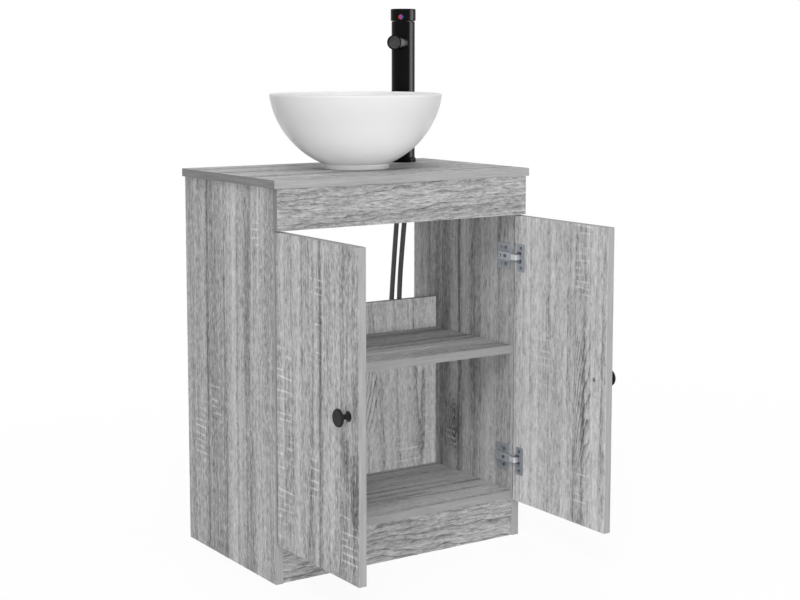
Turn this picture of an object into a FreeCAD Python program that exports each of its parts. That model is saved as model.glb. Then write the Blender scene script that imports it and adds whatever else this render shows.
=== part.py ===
import FreeCAD, Part
import math
import operator
import os
from types import SimpleNamespace

import Sketcher
from FreeCAD import Placement, Rotation, Vector

# Bathroom vanity unit: a board cabinet with two doors, a round basin on its top, a column tap and its hoses.
# The frame stands on the floor under the middle of the unit, with the doors square to the front.
# +X is to the right, -Y is the front, +Z is up, and every size is in millimetres.

doc = FreeCAD.newDocument("vanity_unit")
sheet = doc.addObject("Spreadsheet::Sheet", "Dims")

OPERATIONS = {"+": operator.add, "-": operator.sub, "*": operator.mul, "/": operator.truediv}


class Dim:
    """A size that keeps the sheet expression it comes from beside its value."""

    def __init__(self, value, text):
        self.value = value
        self.text = text

    def __float__(self):
        return self.value

    def __add__(self, other):
        return combine(self, "+", other)

    def __radd__(self, other):
        return combine(other, "+", self)

    def __sub__(self, other):
        return combine(self, "-", other)

    def __rsub__(self, other):
        return combine(other, "-", self)

    def __mul__(self, other):
        return combine(self, "*", other)

    def __rmul__(self, other):
        return combine(other, "*", self)

    def __truediv__(self, other):
        return combine(self, "/", other)

    def __neg__(self):
        return combine(-1, "*", self)


def as_dim(number):
    if isinstance(number, Dim):
        return number
    return Dim(float(number), "%.6f" % number)


def chord_radius(radius, drop):
    """The radius of a sphere's circle at a distance from its centre, or that distance for the circle."""
    squares = radius * radius - drop * drop
    return Dim(math.sqrt(squares.value), "sqrt(" + squares.text + ")")


def combine(first, sign, second):
    first = as_dim(first)
    second = as_dim(second)
    value = OPERATIONS[sign](first.value, second.value)
    return Dim(value, "(" + first.text + " " + sign + " " + second.text + ")")


# Driving sizes

DRIVING_SIZES = {
    "board": 15,
    "cabinet_width": 546,
    "side_depth": 343,
    "worktop_width": 558,
    "worktop_depth": 360,
    "worktop_top": 725,
    "apron_height": 74,
    "plinth_height": 75,
    "front_recess": 3,
    "shelf_top": 379,
    "back_top": 442.5,
    "pipe_space": 65,
    "rail_height": 70,
    "wall_screw_radius": 3,
    "wall_screw_spacing": 400,
    "door_width": 270.5,
    "door_height": 560.5,
    "door_bottom": 73.5,
    "door_reveal": 1,
    "door_gap": 3,
    "open_gap": 3.5,
    "open_inset": 2.25,
    "door_edge_radius": 1.2,
    "hinge_margin": 81,
    "cup_radius": 13,
    "cup_depth": 12.5,
    "cup_from_edge": 16,
    "ear_offset": 5.5,
    "mouth_reach": 6.6,
    "sheet_metal": 1,
    "ear_length": 54,
    "ear_width": 22,
    "ear_screw_spacing": 38,
    "pin_radius": 1.2,
    "knuckle_radius": 2.2,
    "arm_sheet": 1.6,
    "neck_width": 10.6,
    "channel_width": 15.4,
    "plate_height": 50,
    "plate_width": 38.5,
    "plate_sheet": 2.2,
    "plate_setback": 30,
    "rib_width": 11,
    "rib_height": 3.2,
    "plate_screw_spacing": 32,
    "knob_radius": 16,
    "knob_length": 23,
    "knob_rosette_radius": 8.85,
    "knob_stem_radius": 4.25,
    "knob_from_edge": 31,
    "dowel_radius": 4,
    "dowel_length": 30,
    "dowel_shallow": 10,
    "basin_from_rear": 180,
    "basin_sphere_radius": 166.2,
    "basin_height": 143,
    "basin_sphere_lift": 20,
    "basin_inner_radius": 158.5,
    "basin_floor": 13,
    "basin_rim_radius": 4.7,
    "foot_radius": 64,
    "foot_ring": 10,
    "foot_hollow": 4,
    "waste_hole_radius": 22.5,
    "waste_thread_radius": 20.95,
    "waste_shank_radius": 20.6,
    "waste_bore_radius": 17,
    "waste_flange_radius": 31.5,
    "waste_tail": 655,
    "tap_from_middle": 178,
    "tap_from_rear": 77,
    "tap_hole_radius": 17.5,
    "tap_radius": 23.5,
    "tap_top": 1007.3,
    "cap_radius": 25.25,
    "cap_bottom": 1008,
    "cap_top": 1032,
    "spout_radius": 14.4,
    "spout_bore_radius": 12.2,
    "spout_reach": 91,
    "spout_level": 964.7,
    "hose_radius": 5.1,
}

d = SimpleNamespace()
for row, (alias, value) in enumerate(DRIVING_SIZES.items(), start=1):
    sheet.set("A%d" % row, alias)
    sheet.set("B%d" % row, str(value))
    sheet.setAlias("B%d" % row, alias)
    setattr(d, alias, Dim(float(value), "Dims." + alias))

LEFT = -1
RIGHT = 1
SIDES = {"left": LEFT, "right": RIGHT}
FIT = 0.05
ALONG = {
    "x": Rotation(Vector(0, 1, 0), 90),
    "-x": Rotation(Vector(0, 1, 0), -90),
    "y": Rotation(Vector(1, 0, 0), -90),
    "-y": Rotation(Vector(1, 0, 0), 90),
    "z": Rotation(),
    "-z": Rotation(Vector(1, 0, 0), 180),
}

# Places that follow from the driving sizes

half = d.cabinet_width / 2
rear = (d.side_depth + d.open_gap + d.door_width) / 2
front = rear - d.side_depth
underside = d.worktop_top - d.board
inner_width = d.cabinet_width - 2 * d.board
recess_front = front + d.front_recess
back_rear = rear - d.pipe_space
back_front = back_rear - d.board
hinge_edge = front - d.open_gap
door_outer = half - d.open_inset
door_inner = door_outer - d.board
door_slack = d.board + d.open_inset - d.door_reveal
pivot_out = half - (door_slack + d.door_gap - d.open_gap) / 2 - d.door_reveal
pivot_y = front - (door_slack + d.door_gap + d.open_gap) / 2
hinge_levels = {
    "upper": d.door_bottom + d.door_height - d.hinge_margin,
    "lower": d.door_bottom + d.hinge_margin,
}
basin_y = rear - d.basin_from_rear
SPOUT_HEADING = 225
spout_way = Vector(math.cos(math.radians(SPOUT_HEADING)), math.sin(math.radians(SPOUT_HEADING)), 0)
across_way = Vector(-spout_way.y, spout_way.x, 0)
spout_turn = Rotation(Vector(0, 0, 1), spout_way)
STUD = {"radius": 3.0, "forward": 11.0}
tap_y = rear - d.tap_from_rear
bottom_top = d.plinth_height + d.board

parts = []


def bind(thing, name, size):
    thing.setExpression(name, as_dim(size).text)


def place(thing, spot, turn=None):
    """Set a thing's place from sheet sizes, with its turn about that place."""
    thing.Placement = Placement(Vector(*[float(value) for value in spot]), turn or Rotation())
    for axis, value in zip("xyz", spot):
        bind(thing, "Placement.Base." + axis, value)


def keep(thing, label):
    """Hand a finished sub-part over under its own name."""
    thing.Label = label
    parts.append(thing)
    return thing


def box(name, size, corner):
    solid = doc.addObject("Part::Box", name)
    for side, length in zip(("Length", "Width", "Height"), size):
        bind(solid, side, length)
    place(solid, corner)
    return solid


def rod(name, radius, length, start, along):
    solid = doc.addObject("Part::Cylinder", name)
    bind(solid, "Radius", radius)
    bind(solid, "Height", length)
    turn = along if isinstance(along, Rotation) else ALONG[along]
    place(solid, start, turn)
    return solid


def group(name, solids):
    bundle = doc.addObject("Part::Compound", name)
    bundle.Links = solids
    return bundle


def cut(name, base, tools):
    result = doc.addObject("Part::Cut", name)
    result.Base = base
    result.Tool = tools[0] if len(tools) == 1 else group(name + "_tools", tools)
    return result


def fuse(name, solids):
    result = doc.addObject("Part::MultiFuse", name)
    result.Shapes = solids
    return result


def side_start(side, outer, inner):
    """The lower X of something that lies from inner to outer on one side."""
    return inner if side == RIGHT else -outer


def arc_middle(start, end, radius):
    """The middle of an arc that turns left for a positive radius and right for a negative one."""
    chord = end - start
    middle = (start + end) / 2
    left = Vector(-chord.y, chord.x, 0).normalize()
    half_chord = chord.Length / 2
    sagitta = abs(radius) - math.sqrt(radius * radius - half_chord * half_chord)
    return middle - left * math.copysign(sagitta, radius)


def draw_outline(sketch, corners, flip=1):
    """Close an outline through its corners; a third number on one bends the run that leaves it."""
    spots = [Vector(flip * float(corner[0]), float(corner[1]), 0) for corner in corners]
    runs = []
    for number, corner in enumerate(corners):
        start = spots[number]
        end = spots[(number + 1) % len(spots)]
        if len(corner) > 2:
            bend = flip * float(corner[2])
            run = sketch.addGeometry(Part.Arc(start, arc_middle(start, end, bend), end))
            curve = sketch.addConstraint(Sketcher.Constraint("Radius", run, abs(bend)))
            if isinstance(corner[2], Dim):
                sign = math.copysign(1, float(corner[2]))
                sketch.setExpression("Constraints[%d]" % curve, (sign * corner[2]).text)
        else:
            run = sketch.addGeometry(Part.LineSegment(start, end))
        begins = 1 if sketch.getPoint(run, 1).distanceToPoint(start) < 1e-4 else 2
        runs.append((run, begins))
    for number, (run, begins) in enumerate(runs):
        before, before_begins = runs[number - 1]
        sketch.addConstraint(Sketcher.Constraint("Coincident", before, 3 - before_begins, run, begins))
        across, up = corners[number][:2]
        for kind, value, sign in (("DistanceX", across, flip), ("DistanceY", up, 1)):
            size = sign * float(value)
            held = sketch.addConstraint(Sketcher.Constraint(kind, -1, 1, run, begins, size))
            if isinstance(value, Dim):
                sketch.setExpression("Constraints[%d]" % held, (sign * value).text)


def new_sketch(body, name, plane):
    sketch = body.newObject("Sketcher::SketchObject", name)
    support = [feature for feature in body.Origin.OriginFeatures if feature.Role == plane][0]
    sketch.AttachmentSupport = [(support, "")]
    sketch.MapMode = "FlatFace"
    return sketch


def lathe(name, profile, foot, turn=None):
    """A body turned about its own Z axis from a profile of radius and height."""
    body = doc.addObject("PartDesign::Body", name)
    sketch = new_sketch(body, name + "_profile", "XZ_Plane")
    draw_outline(sketch, profile)
    turned = body.newObject("PartDesign::Revolution", name + "_turned")
    turned.Profile = sketch
    turned.ReferenceAxis = (sketch, ["V_Axis"])
    turned.Angle = 360
    place(body, foot, turn)
    return body


def pad(name, outline, height, foot, flip=1, turn=None):
    """A body raised along its own Z axis from an outline."""
    body = doc.addObject("PartDesign::Body", name)
    sketch = new_sketch(body, name + "_outline", "XY_Plane")
    draw_outline(sketch, outline, flip)
    raised = body.newObject("PartDesign::Pad", name + "_raised")
    raised.Profile = sketch
    bind(raised, "Length", height)
    place(body, foot, turn)
    return body


def rounded_rectangle(low, high, radius):
    """Corners of a rectangle with round corners, counter-clockwise."""
    (x0, y0), (x1, y1) = low, high
    return [
        (x0 + radius, y0),
        (x1 - radius, y0, radius),
        (x1, y0 + radius),
        (x1, y1 - radius, radius),
        (x1 - radius, y1),
        (x0 + radius, y1, radius),
        (x0, y1 - radius),
        (x0, y0 + radius, radius),
    ]


def hexagon(across_flats):
    radius = across_flats / math.sqrt(3)
    turns = [math.radians(60 * step) for step in range(6)]
    return [(radius * math.cos(turn), radius * math.sin(turn)) for turn in turns]


# Dowels that locate the boards: where each one's shallow end starts and which way it runs

def dowel_places():
    places = []
    bottom_level = d.plinth_height + d.board / 2
    back_line = back_rear - d.board / 2
    for side in SIDES.values():
        into_side = "x" if side == LEFT else "-x"
        seat_x = side * (half - d.board + d.dowel_shallow)
        edge_x = side * (half - d.board / 2)
        side_seats = {
            "bottom_panel": [(rear - 120, bottom_level), (rear - 290, bottom_level)],
            "back_panel": [(back_line, 180), (back_line, 400)],
            "plinth": [(recess_front + d.board / 2, d.plinth_height / 2)],
            "rear_rail": [(rear - d.board / 2, underside - d.rail_height / 2)],
        }
        for board_name, seats in side_seats.items():
            for y, z in seats:
                places.append((side, board_name, (seat_x, y, z), into_side))
        for y in (rear - 60, rear - 280):
            places.append((side, "worktop", (edge_x, y, underside + d.dowel_shallow), "-z"))
        apron_y = front - d.dowel_shallow
        places.append((side, "front_apron", (edge_x, apron_y, underside - d.apron_height / 2), "y"))
    return places


dowels_at = dowel_places()


def dowel_holes(name, wanted):
    """Holes a little wider and longer than the dowels that pass the test."""
    holes = []
    for side, board_name, start, along in dowels_at:
        if not wanted(side, board_name):
            continue
        back_off = ALONG[along].multVec(Vector(0, 0, -0.3))
        seat = [value + shift for value, shift in zip(start, back_off)]
        hole = "%s_dowel_hole_%d" % (name, len(holes))
        holes.append(rod(hole, d.dowel_radius + FIT, d.dowel_length + 0.6, seat, along))
    return holes


# Hinge hardware places, shared by the boards and the hinges

plate_rear = front + d.plate_setback + d.plate_width / 2
plate_middle = plate_rear - d.plate_width / 2
cup_y = hinge_edge - d.cup_from_edge
arm_seat = half - d.board - d.plate_sheet - d.rib_height
channel_front = front + 3
channel_rear = front + 43
arm_screw_y = front + 22
arm_screw_sink = 0.6
arm_screw_seat = arm_seat - d.arm_sheet + arm_screw_sink
arm_window_y = front + 36
wing_screw_y = plate_middle - 6
wing_hole_y = plate_middle + 7
ear_y = cup_y - d.ear_offset
ARM_WINDOW = (3.4, 2.3)
ARM_SCREW = {"radius": 1.5, "length": 4.0, "head_radius": 3.4, "head": 1.4}
PLATE_SCREW = {"radius": 1.7, "length": 13.0, "head_radius": 3.8, "head": 1.6}
EAR_SCREW = {"radius": 1.7, "length": 10.0, "head_radius": 3.3, "head": 1.4}
KNOB_SCREW = {"radius": 2.0, "length": 25.0, "head_radius": 4.2, "head": 2.2}


def plate_screw_spots():
    return [(wing_screw_y, level + sign * d.plate_screw_spacing / 2)
            for level in hinge_levels.values() for sign in (-1, 1)]


def ear_screw_spots():
    return [(ear_y, level + sign * d.ear_screw_spacing / 2)
            for level in hinge_levels.values() for sign in (-1, 1)]


knob_spot = (hinge_edge - d.door_width + d.knob_from_edge, d.door_bottom + d.door_height / 2)

# Shelf pins, two on each side

SHELF_PIN = {"radius": 2.5, "length": 18.0, "seat": 9.0}
shelf_bottom = d.shelf_top - d.board
shelf_pin_spots = [(y, shelf_bottom - SHELF_PIN["radius"]) for y in (back_front - 40, recess_front + 45)]


def build_boards():
    for word, side in SIDES.items():
        name = "side_panel_" + word
        corner = (side_start(side, half, half - d.board), front, 0)
        blank = box(name + "_blank", (d.board, d.side_depth, underside), corner)
        holes = dowel_holes(name, lambda where, board_name: where == side)
        outward = "x" if side == RIGHT else "-x"
        inner_face = side * (half - d.board)
        for number, (y, z) in enumerate(plate_screw_spots()):
            hole = "%s_screw_hole_%d" % (name, number)
            holes.append(rod(hole, PLATE_SCREW["radius"] + FIT, PLATE_SCREW["length"] - d.plate_sheet + 0.3,
                             (inner_face, y, z), outward))
        for number, (y, z) in enumerate(shelf_pin_spots):
            hole = "%s_pin_hole_%d" % (name, number)
            depth = SHELF_PIN["seat"] + 0.3
            holes.append(rod(hole, SHELF_PIN["radius"] + FIT, depth, (inner_face, y, z), outward))
        keep(cut(name, blank, holes), name)

    worktop = box("worktop_blank", (d.worktop_width, d.worktop_depth, d.board),
                  (-d.worktop_width / 2, rear - d.worktop_depth, underside))
    openings = [
        rod("waste_cut_out", d.waste_hole_radius, d.board, (0, basin_y, underside), "z"),
        rod("tap_cut_out", d.tap_hole_radius, d.board, (d.tap_from_middle, tap_y, underside), "z"),
    ]
    openings += dowel_holes("worktop", lambda side, board_name: board_name == "worktop")
    keep(cut("worktop", worktop, openings), "worktop")

    cross_boards = {
        "front_apron": ((d.cabinet_width, d.board, d.apron_height),
                        (-half, front - d.board, underside - d.apron_height)),
        "plinth": ((inner_width, d.board, d.plinth_height), (-inner_width / 2, recess_front, 0)),
        "bottom_panel": ((inner_width, back_rear - recess_front, d.board),
                         (-inner_width / 2, recess_front, d.plinth_height)),
        "back_panel": ((inner_width, d.board, d.back_top - bottom_top),
                       (-inner_width / 2, back_front, bottom_top)),
        "rear_rail": ((inner_width, d.board, d.rail_height),
                      (-inner_width / 2, rear - d.board, underside - d.rail_height)),
    }
    for name, (size, corner) in cross_boards.items():
        blank = box(name + "_blank", size, corner)
        holes = dowel_holes(name, lambda side, board_name: board_name == name)
        if name == "rear_rail":
            holes += wall_screw_holes()
        keep(cut(name, blank, holes), name)

    slack = 0.5
    shelf_size = (inner_width - 2 * slack, back_front - slack - recess_front, d.board)
    keep(box("shelf", shelf_size, (slack - inner_width / 2, recess_front, shelf_bottom)), "shelf")


def wall_screw_holes():
    """Two holes through the rear rail for screws into the wall behind."""
    level = underside - d.rail_height / 2
    return [rod("wall_screw_hole_%d" % (side + 1), d.wall_screw_radius, d.board,
                (side * d.wall_screw_spacing / 2, rear - d.board, level), "y") for side in SIDES.values()]


def build_board_fittings():
    dowels = [rod("dowel_%d" % number, d.dowel_radius, d.dowel_length, start, along)
              for number, (side, board_name, start, along) in enumerate(dowels_at)]
    keep(group("dowel_set", dowels), "dowels")
    pins = []
    for word, side in SIDES.items():
        inward = "-x" if side == RIGHT else "x"
        seat_x = side * (half - d.board + SHELF_PIN["seat"])
        for y, z in shelf_pin_spots:
            name = "shelf_pin_%s_%d" % (word, len(pins))
            pins.append(rod(name, SHELF_PIN["radius"], SHELF_PIN["length"], (seat_x, y, z), inward))
    keep(group("shelf_pin_set", pins), "shelf_pins")


def screw(name, size, face, along):
    """A pan-head screw whose head sits on a face and whose shank runs along the given way."""
    back = ALONG[along].multVec(Vector(0, 0, -size["head"]))
    crown = size["head"] * 0.45
    profile = [
        (0, 0),
        (size["head_radius"] * 0.8, 0),
        (size["head_radius"], crown),
        (size["head_radius"], size["head"]),
        (size["radius"], size["head"]),
        (size["radius"], size["head"] + size["length"] - 1.5),
        (size["radius"] * 0.3, size["head"] + size["length"]),
        (0, size["head"] + size["length"]),
    ]
    spot = [value + shift for value, shift in zip(face, back)]
    return lathe(name, profile, spot, ALONG[along])


def build_doors():
    for word, side in SIDES.items():
        name = "door_" + word
        low = (door_inner, hinge_edge - d.door_width)
        high = (door_outer, hinge_edge)
        outline = rounded_rectangle(low, high, d.door_edge_radius)
        blank = pad(name + "_blank", outline, d.door_height, (0, 0, d.door_bottom), flip=side)
        outward = "x" if side == RIGHT else "-x"
        face = side * door_inner
        holes = []
        for level_word, level in hinge_levels.items():
            holes.append(rod("%s_cup_bore_%s" % (name, level_word), d.cup_radius + FIT, d.cup_depth + 0.1,
                             (face, cup_y, level), outward))
        for number, (y, z) in enumerate(ear_screw_spots()):
            holes.append(rod("%s_ear_hole_%d" % (name, number), EAR_SCREW["radius"] + FIT,
                             EAR_SCREW["length"] - d.sheet_metal + 0.3, (face, y, z), outward))
        knob_hole = KNOB_SCREW["radius"] + FIT
        holes.append(rod(name + "_knob_hole", knob_hole, d.board, (face,) + knob_spot, outward))
        keep(cut(name, blank, holes), name)
        build_knob(word, side, outward)


def build_knob(word, side, outward):
    bore = KNOB_SCREW["radius"] + FIT
    neck = d.knob_stem_radius
    tip = d.knob_length
    profile = [
        (bore, 0),
        (d.knob_rosette_radius, 0),
        (d.knob_rosette_radius, 1.4, -7.2),
        (neck, 6.5),
        (neck, 12, -6.5),
        (d.knob_radius - 1.8, tip - 5.2, 2.3),
        (d.knob_radius - 1.2, tip - 1.2, 1.6),
        (d.knob_radius - 2.6, tip),
        (0, tip),
        (0, KNOB_SCREW["length"] - d.board + 1),
        (bore, KNOB_SCREW["length"] - d.board + 1),
    ]
    foot = (side * door_outer,) + knob_spot
    keep(lathe("knob_%s_turned" % word, profile, foot, ALONG[outward]), "knob_" + word)
    screw_body = screw("knob_screw_%s_turned" % word, KNOB_SCREW, (side * door_inner,) + knob_spot, outward)
    keep(screw_body, "knob_screw_" + word)


pin_length = 18


def pin_start(side, level):
    return (side * pivot_out, pivot_y, level - pin_length / 2)


def centred_slot(spread):
    """A rounded opening given by its half height and half length."""
    half_height, half_length = spread
    return rounded_rectangle((-half_height, -half_length), spread, 1.8)


def build_hinge_cup(name, side, level):
    """A pressed cup under a face plate with two screw ears and a mouth flat on one side."""
    inward = "-x" if side == RIGHT else "x"
    outer = d.cup_radius
    wall = 0.9
    inner = outer - wall
    metal = d.sheet_metal
    spot = (side * door_inner, cup_y, level)
    profile = [
        (0, -d.cup_depth),
        (outer - 1, -d.cup_depth, 1),
        (outer, 1 - d.cup_depth),
        (outer, 0),
        (outer + wall, 0),
        (outer + wall, metal),
        (inner, metal),
        (inner, wall - d.cup_depth),
        (0, wall - d.cup_depth),
    ]
    bowl = lathe(name + "_bowl", profile, spot, ALONG[inward])
    low = (-d.ear_length / 2, -d.ear_width / 2)
    high = (d.ear_length / 2, d.ear_width / 2)
    ear_spot = (side * door_inner, ear_y, level)
    ears = pad(name + "_ears", rounded_rectangle(low, high, 3), metal, ear_spot, turn=ALONG[inward])
    mouth_x = side_start(side, door_inner, door_inner - metal)
    lid_corner = (mouth_x, cup_y - d.mouth_reach - outer, level - outer)
    beyond = box(name + "_beyond", (metal, outer, 2 * outer), lid_corner)
    mouth = cut(name + "_mouth", rod(name + "_mouth_round", inner, metal, spot, inward), [beyond])
    shell = fuse(name + "_shell", [bowl, cut(name + "_open_ears", ears, [mouth])])
    holes = [rod(name + "_pin_hole", d.pin_radius + 0.01, pin_length, pin_start(side, level), "z")]
    for sign in (-1, 1):
        seat = (side * door_inner, ear_y, level + sign * d.ear_screw_spacing / 2)
        holes.append(rod("%s_ear_hole_%d" % (name, sign + 1), EAR_SCREW["radius"] + FIT, metal, seat, inward))
    keep(cut(name + "_drilled", shell, holes), name)


def build_hinge_arm(name, side, level):
    """A channel over the plate's rib that narrows to a neck, bent round to the knuckle on the pin."""
    inward = "-x" if side == RIGHT else "x"
    web = pivot_out - arm_seat
    skin = web + d.arm_sheet
    hook_top = -0.2
    hook_bottom = hook_top - d.arm_sheet
    inner_bend = 0.8
    outer_bend = inner_bend + d.arm_sheet
    neck_end = channel_front - pivot_y + 6
    outline = [
        (0, hook_top),
        (web - inner_bend, hook_top, inner_bend),
        (web, hook_top + inner_bend),
        (web, neck_end),
        (skin, neck_end),
        (skin, hook_bottom + outer_bend, -outer_bend),
        (skin - outer_bend, hook_bottom),
        (0, hook_bottom),
    ]
    foot = (side * pivot_out, pivot_y, level - d.neck_width / 2)
    neck = pad(name + "_neck", outline, d.neck_width, foot, flip=-side)
    knuckle = rod(name + "_knuckle", d.knuckle_radius, d.neck_width, foot, "z")
    length = channel_rear - channel_front
    web_x = side_start(side, arm_seat, arm_seat - d.arm_sheet)
    channel_low = level - d.channel_width / 2
    channel_size = (d.arm_sheet, length, d.channel_width)
    channel = box(name + "_channel", channel_size, (web_x, channel_front, channel_low))
    cheek = d.rib_height - 0.3
    cheek_x = side_start(side, arm_seat + cheek, arm_seat)
    cheeks = []
    cheek_size = (cheek, length, d.arm_sheet)
    for word, z in (("low", channel_low), ("high", channel_low + d.channel_width - d.arm_sheet)):
        cheeks.append(box("%s_cheek_%s" % (name, word), cheek_size, (cheek_x, channel_front, z)))
    pressed = fuse(name + "_pressed", [neck, knuckle, channel] + cheeks)
    holes = [rod(name + "_pin_bore", d.pin_radius + FIT, d.neck_width, foot, "z")]
    openings = {
        "slot": ((2.0, 5.5), arm_screw_y, arm_seat, d.arm_sheet),
        "seat": ((4.1, 6.4), arm_screw_y, arm_screw_seat, arm_screw_sink),
        "window": (ARM_WINDOW, arm_window_y, arm_seat, d.arm_sheet),
    }
    for word, (spread, y, start_x, depth) in openings.items():
        start = (side * start_x, y, level)
        holes.append(pad("%s_%s" % (name, word), centred_slot(spread), depth, start, turn=ALONG[inward]))
    keep(cut(name + "_drilled", pressed, holes), name)


def build_hinge_plate(name, side, level):
    """A base plate with a raised rib, drilled for its wood screws and for the arm's screw."""
    inward = "-x" if side == RIGHT else "x"
    outward = "x" if side == RIGHT else "-x"
    face = side * (half - d.board)
    low = (-d.plate_height / 2, -d.plate_width / 2)
    high = (d.plate_height / 2, d.plate_width / 2)
    base = pad(name + "_base", rounded_rectangle(low, high, 2.5), d.plate_sheet, (face, plate_middle, level),
               turn=ALONG[inward])
    rib_low = (-d.rib_width / 2, channel_front + 9 - plate_middle)
    rib_high = (d.rib_width / 2, channel_rear - 0.5 - plate_middle)
    rib_foot = (side * (half - d.board - d.plate_sheet), plate_middle, level)
    rib_outline = rounded_rectangle(rib_low, rib_high, 1)
    rib = pad(name + "_rib", rib_outline, d.rib_height, rib_foot, turn=ALONG[inward])
    holes = []
    for sign in (-1, 1):
        z = level + sign * d.plate_screw_spacing / 2
        tag = "%s_wing_%d" % (name, sign + 1)
        screw_foot = (face, wing_screw_y, z)
        holes.append(rod(tag + "_screw_hole", PLATE_SCREW["radius"] + FIT, d.plate_sheet, screw_foot, inward))
        holes.append(rod(tag + "_spare_hole", 2.4, d.plate_sheet, (face, wing_hole_y, z), inward))
        spare_face = (side * (half - d.board - d.plate_sheet), wing_hole_y, z)
        holes.append(rod(tag + "_spare_seat", 3.9, 0.9, spare_face, outward))
    screw_top = (side * arm_seat, arm_screw_y, level)
    holes.append(rod(name + "_rib_hole", ARM_SCREW["radius"] + FIT, d.rib_height, screw_top, outward))
    pocket_top = (side * arm_seat, arm_window_y, level)
    holes.append(pad(name + "_pocket", centred_slot(ARM_WINDOW), 2.4, pocket_top, turn=ALONG[outward]))
    keep(cut(name + "_drilled", fuse(name + "_cast", [base, rib]), holes), name)


def build_hinges():
    cabinet_screws = []
    for word, side in SIDES.items():
        outward = "x" if side == RIGHT else "-x"
        pins = []
        for level_word, level in hinge_levels.items():
            tag = "%s_%s" % (word, level_word)
            build_hinge_cup("hinge_cup_" + tag, side, level)
            build_hinge_arm("hinge_arm_" + tag, side, level)
            build_hinge_plate("hinge_plate_" + tag, side, level)
            pins.append(rod("hinge_pin_" + tag, d.pin_radius, pin_length, pin_start(side, level), "z"))
            seat = (side * arm_screw_seat, arm_screw_y, level)
            cabinet_screws.append(screw("arm_screw_" + tag, ARM_SCREW, seat, outward))
        keep(group("hinge_pin_set_" + word, pins), "hinge_pins_" + word)
        for number, spot in enumerate(plate_screw_spots()):
            seat = (side * (half - d.board - d.plate_sheet),) + spot
            cabinet_screws.append(screw("plate_screw_%s_%d" % (word, number), PLATE_SCREW, seat, outward))
        ear_face = side * (door_inner - d.sheet_metal)
        ear_screws = [screw("ear_screw_%s_%d" % (word, number), EAR_SCREW, (ear_face,) + spot, outward)
                      for number, spot in enumerate(ear_screw_spots())]
        keep(group("ear_screw_set_" + word, ear_screws), "hinge_cup_screws_" + word)
    keep(group("hinge_screw_set", cabinet_screws), "hinge_plate_screws")


def build_basin():
    """A spherical bowl on a foot ring, with a rounded rim and a seat for the waste."""
    rim = d.basin_height
    shoulder = rim - 4.5
    outer_centre = rim + d.basin_sphere_lift
    inner_centre = d.basin_floor + d.basin_inner_radius
    rim_outer = chord_radius(d.basin_sphere_radius, outer_centre - shoulder)
    rim_inner = chord_radius(d.basin_inner_radius, inner_centre - shoulder)
    foot_top = outer_centre - chord_radius(d.basin_sphere_radius, d.foot_radius)
    seat = d.waste_flange_radius + 2.5
    seat_top = inner_centre - chord_radius(d.basin_inner_radius, seat)
    profile = [
        (d.waste_hole_radius, d.foot_hollow),
        (d.foot_radius - d.foot_ring, d.foot_hollow),
        (d.foot_radius - d.foot_ring, 0),
        (d.foot_radius - 1, 0),
        (d.foot_radius, 1),
        (d.foot_radius, foot_top, d.basin_sphere_radius),
        (rim_outer, shoulder, d.basin_rim_radius),
        ((rim_outer + rim_inner) / 2, rim, d.basin_rim_radius),
        (rim_inner, shoulder, -d.basin_inner_radius),
        (seat, seat_top),
        (seat, d.basin_floor),
        (d.waste_hole_radius, d.basin_floor),
    ]
    keep(lathe("basin_turned", profile, (0, basin_y, d.worktop_top)), "basin")


def ring(name, inner, outer, low, high, spot):
    """A flat ring about a vertical axis through the given X and Y."""
    profile = [(inner, 0), (outer, 0), (outer, high - low), (inner, high - low)]
    return lathe(name, profile, spot + (low,))


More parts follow.
